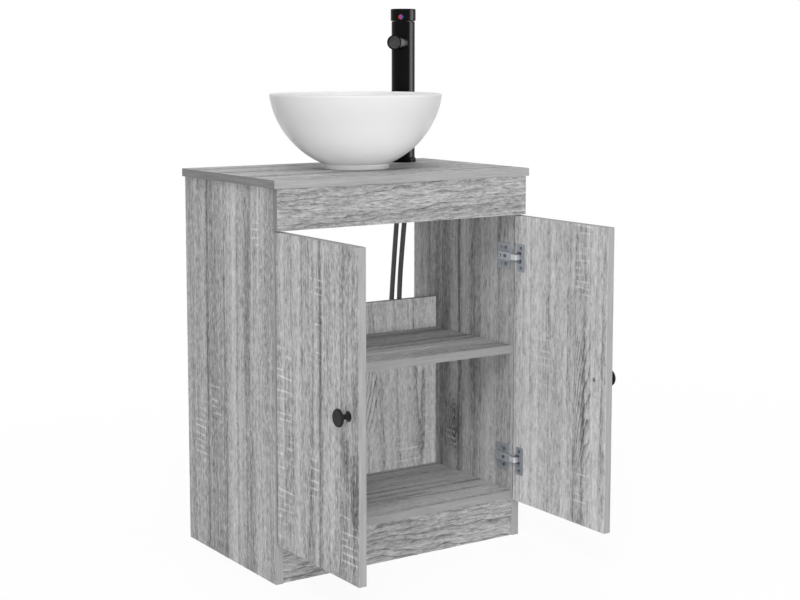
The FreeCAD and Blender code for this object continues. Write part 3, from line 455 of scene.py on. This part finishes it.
def edgeColor(wood, thin, endWay):
    board = wood["board"]
    tree = wood["tree"]
    spot = Wire.node(tree, "ShaderNodeCombineXYZ", None, {
        0: thin / bandEdge["grainThin"],
        1: (wood["along"] + wood["across"]) / bandEdge["grainLong"],
        2: board["seed"],
    })
    mottle = noise(tree, spot, 1.0, 2.0, 0.6) - 0.5
    isEnd = abs(endWay).step(bandEdge["turnFrom"], bandEdge["turnTo"])
    edge = board.get("edge", bandEdge["level"])
    level = edge + isEnd * (board.get("end", edge) - edge) + mottle * bandEdge["vary"]
    return Wire.node(tree, "ShaderNodeCombineColor", None, {0: level, 1: level, 2: level})


def oakFinish(name, board):
    material, tree = newMaterial("oak_" + name)
    spot = Wire.node(tree, "ShaderNodeSeparateXYZ", None, {0: objectCoords(tree)})
    way = Wire.node(tree, "ShaderNodeSeparateXYZ", None, {0: surfaceWay(tree)})
    faceWay = way.out(board["face"])
    wood = {"tree": tree, "board": board, "seed": board["seed"] * oak["seedStep"],
            "along": spot.out(board["along"]), "across": spot.out(board["across"])}
    rings = growthRings(wood)
    wide, middle = grain(wood, "wide"), grain(wood, "middle")
    fleck, speck, fibre = grain(wood, "fleck"), grain(wood, "speck"), grain(wood, "fibre")
    pore = grain(wood, "pore").step(oak["poreFrom"], oak["poreTo"])
    broad = wide * toneShare["wide"] + middle * toneShare["middle"]
    # the board's tone: its own tone together with painted light and shade; behind takes the painted light
    # off the face towards plus
    tone = oak["base"] + board["tone"] - rings * (ringForm["depth"] * board.get("rings", 1.0))
    tone = tone + faceWay.step(-oak["behindTurn"], oak["behindTurn"]) * board.get("behind", 0.0)
    tone = tone + broad * board.get("calm", 1.0) + fibre * toneShare["fibre"] - pore * toneShare["pore"]
    tone = tone + (fleck * toneShare["fleck"] + speck) * board.get("speck", 1.0)
    sway = wood["across"] + grain(wood, "sway") * bandForm["sway"]
    tone = addBands(board, sway, tone)
    tone = addStreaks(wood, sway, tone)
    tone = addKnots(wood, sway, tone)
    tone = addFlames(wood, sway, tone)
    tone = addSaws(wood, sway, tone)
    face = Wire.node(tree, "ShaderNodeValToRGB", {"stops": oak["stops"]}, {0: tone})
    band = edgeColor(wood, spot.out(board["face"]), way.out(board["along"]))
    isFace = abs(faceWay).step(bandEdge["turnFrom"], bandEdge["turnTo"])
    height = fibre * relief["fibre"] + speck * relief["speck"] - rings * relief["rings"]
    height = (height - pore * relief["pore"]) * isFace
    surface(tree, {
        "Base Color": mixColor(tree, isFace, band, face),
        "Roughness": oak["rough"] + fibre * oak["roughVary"],
        "Specular IOR Level": board.get("shine", oak["shine"]),
        "Normal": bump(tree, height, relief["strength"], relief["height"]),
    })
    return material


for boardName, board in boards.items():
    dress(boardName, oakFinish(boardName, board))
    soften(boardName)
print("boards dressed:", len(boards))


# plain finishes: color, roughness, metal share, and the size and amount of what varies over them
# the painted-light color is a second, lighter color below a place on one axis, at half strength below its
# above:
# painted light on the basin's shaded lower bowl and foot, and a painted highlight on the hinge arm's neck
# inside is the color of what faces the middle: the basin's bowl is lighter inside than out, painted light
# and shade on one white glaze

finishes = {
    "nickel": {"color": (0.5, 0.51, 0.53), "rough": 0.34, "metal": 0.9, "grainSize": 0.003, "vary": 0.18},
    "hinge_steel": {"color": (0.30, 0.325, 0.355), "rough": 0.45, "metal": 0.3,
                    "grainSize": 0.003, "vary": 0.3},
    # the arm's neck, towards the front, is painted lighter: a painted highlight where it faces the light
    "hinge_arm": {"color": (0.37, 0.40, 0.43), "rough": 0.4, "metal": 0.3, "grainSize": 0.003, "vary": 0.3,
                  "paintedLight": {"color": (0.62, 0.64, 0.67), "axis": "Y", "below": -0.033}},
    "screw_steel": {"color": (0.2, 0.205, 0.215), "rough": 0.35, "metal": 0.8,
                    "grainSize": 0.002, "vary": 0.2},
    "pin_steel": {"color": (0.12, 0.12, 0.13), "rough": 0.4, "metal": 0.8, "grainSize": 0.003, "vary": 0.2},
    "brass_nickel": {"color": (0.66, 0.62, 0.52), "rough": 0.3, "metal": 0.95,
                     "grainSize": 0.003, "vary": 0.15},
    "knob_black": {"color": (0.011, 0.011, 0.0115), "rough": 0.45, "grainSize": 0.0012, "vary": 0.25,
                   "shine": 0.15},
    "tap_black": {"color": (0.0025, 0.0025, 0.0026), "rough": 0.2, "grainSize": 0.0008, "vary": 0.2,
                  "shine": 0.065},
    "aerator_dark": {"color": (0.06, 0.06, 0.062), "rough": 0.5, "grainSize": 0.001, "vary": 0.3},
    "rubber": {"color": (0.028, 0.028, 0.028), "rough": 0.75, "grainSize": 0.002, "vary": 0.3},
    # the basin is one white glaze painted with light and shade: 0.57 is painted shade on the outside near
    # the rim, the lighter color painted light towards the foot, and 0.78 inside
    "glaze": {"color": (0.57, 0.57, 0.57), "rough": 0.25, "grainSize": 0.06, "vary": 0.02, "shine": 0.12,
              "paintedLight": {"color": (0.92, 0.92, 0.92), "axis": "Z", "below": 0.78, "blend": 0.065,
                         "above": 0.737},
              "inside": {"color": (0.78, 0.78, 0.78), "middle": (0.0, 0.1285, 0.0)}},
    "chrome": {"color": (0.76, 0.77, 0.78), "rough": 0.09, "metal": 1.0, "grainSize": 0.01, "vary": 0.1},
    "beech": {"color": (0.52, 0.37, 0.23), "rough": 0.6, "grainSize": 0.004, "vary": 0.3},
    "grey_plastic": {"color": (0.33, 0.34, 0.35), "rough": 0.5, "grainSize": 0.002, "vary": 0.1},
    "red_mark": {"color": (0.32, 0.012, 0.014), "rough": 0.25, "grainSize": 0.002, "vary": 0.1},
    "blue_mark": {"color": (0.02, 0.055, 0.3), "rough": 0.25, "grainSize": 0.002, "vary": 0.1},
    "hose_cover": {"color": (0.07, 0.07, 0.072), "rough": 0.42, "grainSize": 0.0015, "vary": 0.3},
}
finishForm = {"cloud": 0.12, "speckShare": 0.6, "blend": 0.001, "footBlend": 0.003, "footShare": 0.5,
              "insideBlend": 0.02, "shine": 0.5, "bump": 0.04, "bumpShare": 0.1}


def tinted(color, factor):
    return (*[min(1.0, level * factor) for level in color], 1.0)


def variedColor(tree, color, vary, shade):
    return mixColor(tree, shade, tinted(color, 1.0 - vary), tinted(color, 1.0 + vary))


# share of the painted light: full below its place, and half on the basin's foot under its above
def paintedLightShare(tree, spot, paintedLight):
    place = Wire.node(tree, "ShaderNodeSeparateXYZ", None, {0: spot}).out(paintedLight["axis"])
    blend = paintedLight.get("blend", finishForm["blend"])
    share = 1.0 - place.step(paintedLight["below"] - blend, paintedLight["below"] + blend)
    if "above" in paintedLight:
        foot = finishForm["footBlend"]
        clear = place.step(paintedLight["above"] - foot, paintedLight["above"] + foot)
        share = share * (finishForm["footShare"] + (1.0 - finishForm["footShare"]) * clear)
    return share


def outwardShare(tree, spot, middle):
    outward = vectorMath(tree, "SUBTRACT", spot, middle)
    outward = vectorMath(tree, "MULTIPLY", outward, (1.0, 1.0, 0.0))
    facing = vectorMath(tree, "DOT_PRODUCT", outward, surfaceWay(tree), "Value")
    return facing.step(-finishForm["insideBlend"], finishForm["insideBlend"])


def plainFinish(name, finish):
    material, tree = newMaterial(name)
    spot = objectCoords(tree)
    vary = finish["vary"]
    speckle = noise(tree, spot, 1.0 / finish["grainSize"], 3.0, 0.6)
    cloud = noise(tree, spot, finishForm["cloud"] / finish["grainSize"], 2.0)
    shade = speckle * finishForm["speckShare"] + cloud * (1.0 - finishForm["speckShare"])
    color = variedColor(tree, finish["color"], vary, shade)
    if "paintedLight" in finish:
        paintedLight = finish["paintedLight"]
        bright = variedColor(tree, paintedLight["color"], vary, shade)
        color = mixColor(tree, paintedLightShare(tree, spot, paintedLight), color, bright)
    if "inside" in finish:
        inside = finish["inside"]
        lit = variedColor(tree, inside["color"], vary, shade)
        color = mixColor(tree, outwardShare(tree, spot, inside["middle"]), lit, color)
    surface(tree, {
        "Base Color": color,
        "Metallic": finish.get("metal", 0.0),
        "Roughness": finish["rough"] * (1.0 + (speckle - 0.5) * vary),
        "Specular IOR Level": finish.get("shine", finishForm["shine"]),
        "Normal": bump(tree, speckle, finishForm["bump"], finish["grainSize"] * finishForm["bumpShare"]),
    })
    return material


dressing = {
    "nickel": ["shelf_pins", "tap_stud", "tap_horseshoe", "hot_hose_sleeve", "cold_hose_sleeve"],
    "hinge_steel": [],
    "hinge_arm": [],
    "pin_steel": ["cartridge_ring"],
    "brass_nickel": ["tap_nut", "hot_hose_nut", "cold_hose_nut"],
    "knob_black": ["knob_left", "knob_right"],
    "tap_black": ["tap_base_ring", "tap_body", "spout", "tap_handle"],
    "rubber": ["waste_gasket", "waste_washer", "waste_nut", "tap_pad"],
    "glaze": ["basin"],
    "chrome": ["waste_body", "waste_plug"],
    "beech": ["dowels"],
    "grey_plastic": ["cartridge"],
    "red_mark": ["hot_mark"],
    "blue_mark": ["cold_mark"],
}
for side in ("left", "right"):
    dressing["pin_steel"].append("hinge_pins_" + side)
    for level in ("upper", "lower"):
        dressing["hinge_arm"].append("hinge_arm_%s_%s" % (side, level))
        dressing["hinge_steel"] += ["hinge_%s_%s_%s" % (piece, side, level) for piece in ("cup", "plate")]
looks = {name: plainFinish(name, finish) for name, finish in finishes.items()}
for look, names in dressing.items():
    for name in names:
        dress(name, looks[look])
print("finishes made:", len(looks))

# turned pieces: rings of points along a line, and the walls between them

turned = {"sides": 32, "smoothAngle": 35.0}


def addRing(form, place, radius, depth, count=turned["sides"]):
    turns = [2.0 * math.pi * index / count for index in range(count)]
    outline = [(radius * math.cos(turn), radius * math.sin(turn)) for turn in turns]
    return addLoop(form, place, outline, depth)


def addLoop(form, place, outline, depth):
    return [form.verts.new(place @ Vector((x, y, depth))) for x, y in outline]


def addWall(form, first, second):
    for index in range(len(first)):
        form.faces.new((first[index - 1], first[index], second[index], second[index - 1]))


def loopEdges(form, loop):
    return [form.edges.get((loop[index - 1], loop[index])) for index in range(len(loop))]


def finishPiece(form, name, look, body, node):
    bmesh.ops.recalc_face_normals(form, faces=form.faces)
    mesh = bpy.data.meshes.new(name)
    form.to_mesh(mesh)
    form.free()
    mesh.polygons.foreach_set("use_smooth", [True] * len(mesh.polygons))
    mesh.set_sharp_from_angle(angle=math.radians(turned["smoothAngle"]))
    mesh.materials.append(looks[look])
    piece = bpy.data.objects.new(name, mesh)
    scene.collection.objects.link(piece)
    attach(piece, body)
    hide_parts(node)


# cross-recess screws: how far the head's face is from the middle, and its depth in the cabinet
# spread is where a hinge's screws are above its middle; a knob's screw is at the knob's middle

screws = {
    "arm": {"face": 0.2502, "headRadius": 0.0034, "head": 0.0014, "radius": 0.0015, "length": 0.004,
            "depth": -0.0125, "spread": [0.0]},
    "plate": {"face": 0.2542, "headRadius": 0.0038, "head": 0.0016, "radius": 0.0017, "length": 0.013,
              "depth": -0.0105, "spread": [-0.016, 0.016]},
    "ear": {"face": 0.25335, "headRadius": 0.0033, "head": 0.0014, "radius": 0.0017, "length": 0.01,
            "depth": -0.0595, "spread": [-0.019, 0.019]},
    "knob": {"face": 0.25355, "headRadius": 0.0042, "head": 0.0022, "radius": 0.002, "length": 0.025},
}
headShape = [(0.8, 0.0), (0.92, 0.16), (1.0, 0.45), (1.0, 1.0)]  # shares of the head's radius and height
shankTip = {"length": 0.0015, "blunt": 0.3}
recess = {"reach": 0.56, "width": 0.15, "depth": 0.75, "taper": 0.6, "turn": 37.0}


def middleOf(node):
    low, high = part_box(node)
    return (Vector(low) + Vector(high)) / 2.0


def screwSpots(kind):
    if kind == "knob":
        knob = middleOf("knob_left")
        return [(knob.y, knob.z)]
    levels = [middleOf("hinge_plate_left_" + level).z for level in ("upper", "lower")]
    return [(screws[kind]["depth"], level + above) for level in levels for above in screws[kind]["spread"]]


def addScrew(form, place, screw):
    wide = screw["headRadius"]
    shank = screw["radius"]
    head = screw["head"]
    end = head + screw["length"]
    rings = [(wide * across, head * down) for across, down in headShape]
    rings += [(shank, head), (shank, end - shankTip["length"]), (shank * shankTip["blunt"], end)]
    loops = [addRing(form, place, radius, depth) for radius, depth in rings]
    for first, second in zip(loops, loops[1:]):
        addWall(form, first, second)
    form.faces.new(loops[-1])
    far, near = recess["reach"] * wide, recess["width"] * wide
    cross = [(near, far), (near, near), (far, near), (far, -near), (near, -near), (near, -far),
             (-near, -far), (-near, -near), (-far, -near), (-far, near), (-near, near), (-near, far)]
    mouth = addLoop(form, place, cross, 0.0)
    narrow = [(x * recess["taper"], y * recess["taper"]) for x, y in cross]
    pit = addLoop(form, place, narrow, head * recess["depth"])
    addWall(form, mouth, pit)
    form.faces.new(pit)
    bmesh.ops.triangle_fill(form, use_beauty=True, edges=loopEdges(form, loops[0]) + loopEdges(form, mouth))


def setScrews(name, look, body, node, kinds, sides):
    form = bmesh.new()
    number = 0
    for side in sides:
        for kind in kinds:
            for depth, height in screwSpots(kind):
                place = Matrix.Translation((side * screws[kind]["face"], depth, height))
                place = place @ Matrix.Rotation(side * math.pi / 2.0, 4, "Y")
                place = place @ Matrix.Rotation(math.radians(recess["turn"] * number), 4, "Z")
                addScrew(form, place, screws[kind])
                number += 1
    finishPiece(form, name, look, body, node)


setScrews("plate_cross_screws", "screw_steel", "cabinet", "hinge_plate_screws", ["arm", "plate"], [-1, 1])
for word, side in (("left", -1), ("right", 1)):
    door = word + "_door"
    setScrews("cup_cross_screws_" + word, "screw_steel", door, "hinge_cup_screws_" + word, ["ear"], [side])
    setScrews("knob_cross_screw_" + word, "nickel", door, "knob_screw_" + word, ["knob"], [side])
print("screws set")

# aerator in the spout's mouth: a ring, and a plate of six-sided cells behind it

aerator = {"way": (-1.0, -1.0, 0.0), "length": 0.008, "rim": 0.0016, "slope": 0.0006, "sink": 0.003,
           "round": 0.0002, "sides": 64, "cellDeep": 0.0022, "pitch": 0.0023, "cell": 0.00095, "margin": 1.3}


def cellSpots(inner):
    pitch = aerator["pitch"]
    reach = int(inner / pitch) + 1
    spots = []
    for row in range(-reach, reach + 1):
        for column in range(-reach, reach + 1):
            x = (column + 0.5 * (row % 2)) * pitch
            y = row * pitch * math.sqrt(0.75)
            if math.hypot(x, y) <= inner - aerator["cell"] * aerator["margin"]:
                spots.append((x, y))
    return spots


def setAerator():
    low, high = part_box("aerator")
    wide = (high[2] - low[2]) / 2.0
    way = Vector(aerator["way"]).normalized()
    back = middleOf("aerator") - way * (aerator["length"] / 2.0)
    place = Matrix.Translation(back) @ way.to_track_quat("Z", "Y").to_matrix().to_4x4()
    form = bmesh.new()
    front = aerator["length"]
    plate = front - aerator["sink"]
    inner = wide - aerator["rim"] - aerator["slope"]
    rings = [(wide, 0.0), (wide, front - aerator["round"]), (wide - aerator["round"], front),
             (wide - aerator["rim"], front), (inner, plate)]
    loops = [addRing(form, place, radius, depth, aerator["sides"]) for radius, depth in rings]
    for first, second in zip(loops, loops[1:]):
        addWall(form, first, second)
    form.faces.new(loops[0])
    edges = loopEdges(form, loops[-1])
    turns = [math.radians(60.0 * index + 30.0) for index in range(6)]
    corners = [(aerator["cell"] * math.cos(turn), aerator["cell"] * math.sin(turn)) for turn in turns]
    for x, y in cellSpots(inner):
        outline = [(x + aside, y + above) for aside, above in corners]
        mouth = addLoop(form, place, outline, plate)
        floor = addLoop(form, place, outline, plate - aerator["cellDeep"])
        addWall(form, mouth, floor)
        form.faces.new(floor)
        edges += loopEdges(form, mouth)
    bmesh.ops.triangle_fill(form, use_beauty=True, edges=edges)
    finishPiece(form, "aerator_cells", "aerator_dark", "cabinet", "aerator")


setAerator()
print("aerator set")

# hoses under the tap: height, lean to the rear and half the spread of the pair, in metres

hose = {
    "route": [(0.760, 0.0, 0.0082), (0.695, 0.0, 0.0082), (0.620, 0.007, 0.0081),
              (0.545, 0.0175, 0.0076), (0.470, 0.0265, 0.0074), (0.395, 0.0315, 0.0090),
              (0.325, 0.034, 0.0125), (0.265, 0.034, 0.0125)],
    "tapSpot": (0.178, 0.2315),
    "radius": 0.0051,
    "smooth": 12,
    "round": 6,
    "lengths": {"hot": 0.4969, "cold": 0.4967},
}


def layHose(name, sign):
    step = sign * math.sqrt(0.5)  # the pair stands at 45 degrees
    tapX, tapY = hose["tapSpot"]
    points = [(tapX + step * spread, tapY + lean - step * spread, height)
              for height, lean, spread in hose["route"]]
    curve = bpy.data.curves.new(name + "_hose_line", "CURVE")
    curve.dimensions = "3D"
    curve.resolution_u = hose["smooth"]
    curve.bevel_depth = hose["radius"]
    curve.bevel_resolution = hose["round"]
    spline = curve.splines.new("NURBS")
    spline.points.add(len(points) - 1)
    for point, place in zip(spline.points, points):
        point.co = (*place, 1.0)
    spline.order_u = 3
    spline.use_endpoint_u = True
    curve.materials.append(looks["hose_cover"])
    piece = bpy.data.objects.new(name + "_flexible_hose", curve)
    scene.collection.objects.link(piece)
    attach(piece, "cabinet")
    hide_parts(name + "_hose")


layHose("hot", -1)
layHose("cold", 1)
print("hoses laid")

# floor, light and white surround

studio = {"floorSize": 14.0, "floorSides": 64, "floorLevel": 0.85, "floorGlow": 0.92, "glowFrom": 0.8,
          "glowTo": 2.4, "skyLight": 0.3, "aim": (0.0, 0.0, 0.55)}
lamps = {
    "key": {"spot": (-2.7, -3.6, 4.6), "size": 3.0, "tall": 3.0, "power": 185.0},
    "top": {"spot": (0.0, -0.8, 5.5), "size": 3.0, "tall": 3.0, "power": 72.0},
    "fill": {"spot": (-3.9, -5.2, 0.9), "size": 3.0, "tall": 1.8, "power": 78.0},
    "left": {"spot": (-5.6, -3.2, 0.6), "size": 2.5, "tall": 1.2, "power": 35.0},
    "low": {"spot": (-1.6, -5.8, 0.4), "size": 1.6, "tall": 0.6, "power": 107.0},
    "rear": {"spot": (1.2, 5.4, 1.7), "size": 4.0, "tall": 2.0, "power": 220.0},
    "right": {"spot": (2.8, -2.2, 1.0), "aim": (0.0, 0.0, 0.75), "size": 2.0, "tall": 1.4, "power": 26.0},
    "card": {"spot": (2.6, -1.7, 0.9), "aim": (0.18, 0.23, 0.9), "size": 2.0, "tall": 0.8, "power": 90.0,
             "mirrored": True},
}


def seenWhite(tree):
    path = Wire.node(tree, "ShaderNodeLightPath")
    mirrored = path.out("Is Glossy Ray").math("MAXIMUM", path.out("Is Transmission Ray"))
    return path.out("Is Camera Ray").math("MAXIMUM", mirrored)


def setFloor():
    mesh = bpy.data.meshes.new("floor")
    floorForm = bmesh.new()
    bmesh.ops.create_circle(floorForm, cap_ends=True, segments=studio["floorSides"],
                             radius=studio["floorSize"])
    floorForm.to_mesh(mesh)
    floorForm.free()
    floor = bpy.data.objects.new("floor", mesh)
    scene.collection.objects.link(floor)
    material, tree = newMaterial("floor")
    away = Wire.node(tree, "ShaderNodeVectorMath", {"operation": "LENGTH"},
                     {0: objectCoords(tree)}, out="Value")
    far = away.step(studio["glowFrom"], studio["glowTo"])
    glow = studio["floorGlow"] + far * (1.0 - studio["floorGlow"])
    paint = Wire.node(tree, "ShaderNodeBsdfDiffuse", None, {"Color": grey(studio["floorLevel"])})
    white = Wire.node(tree, "ShaderNodeEmission", None, {"Color": grey(1.0), "Strength": 1.0})
    both = Wire.node(tree, "ShaderNodeMixShader", None, {0: seenWhite(tree) * glow, 1: paint, 2: white})
    Wire.node(tree, "ShaderNodeOutputMaterial", None, {"Surface": both})
    mesh.materials.append(material)


def setSky():
    world = bpy.data.worlds.new("studio")
    world.use_nodes = True
    tree = world.node_tree
    tree.nodes.clear()
    strength = studio["skyLight"] + seenWhite(tree) * (1.0 - studio["skyLight"])
    sky = Wire.node(tree, "ShaderNodeBackground", None, {"Color": grey(1.0), "Strength": strength})
    Wire.node(tree, "ShaderNodeOutputWorld", None, {"Surface": sky})
    scene.world = world


def setLamps():
    for name, lamp in lamps.items():
        light = bpy.data.lights.new(name, "AREA")
        light.shape = "RECTANGLE"
        light.size = lamp["size"]
        light.size_y = lamp["tall"]
        light.energy = lamp["power"]
        holder = bpy.data.objects.new(name, light)
        holder.location = lamp["spot"]
        way = Vector(lamp.get("aim", studio["aim"])) - Vector(lamp["spot"])
        holder.rotation_euler = way.to_track_quat("-Z", "Y").to_euler()
        isCard = lamp.get("mirrored", False)  # a card that only shows in polished surfaces
        holder.visible_glossy = isCard
        holder.visible_diffuse = not isCard
        scene.collection.objects.link(holder)


setFloor()
setSky()
setLamps()
scene.view_settings.view_transform = "Standard"
print("studio set")
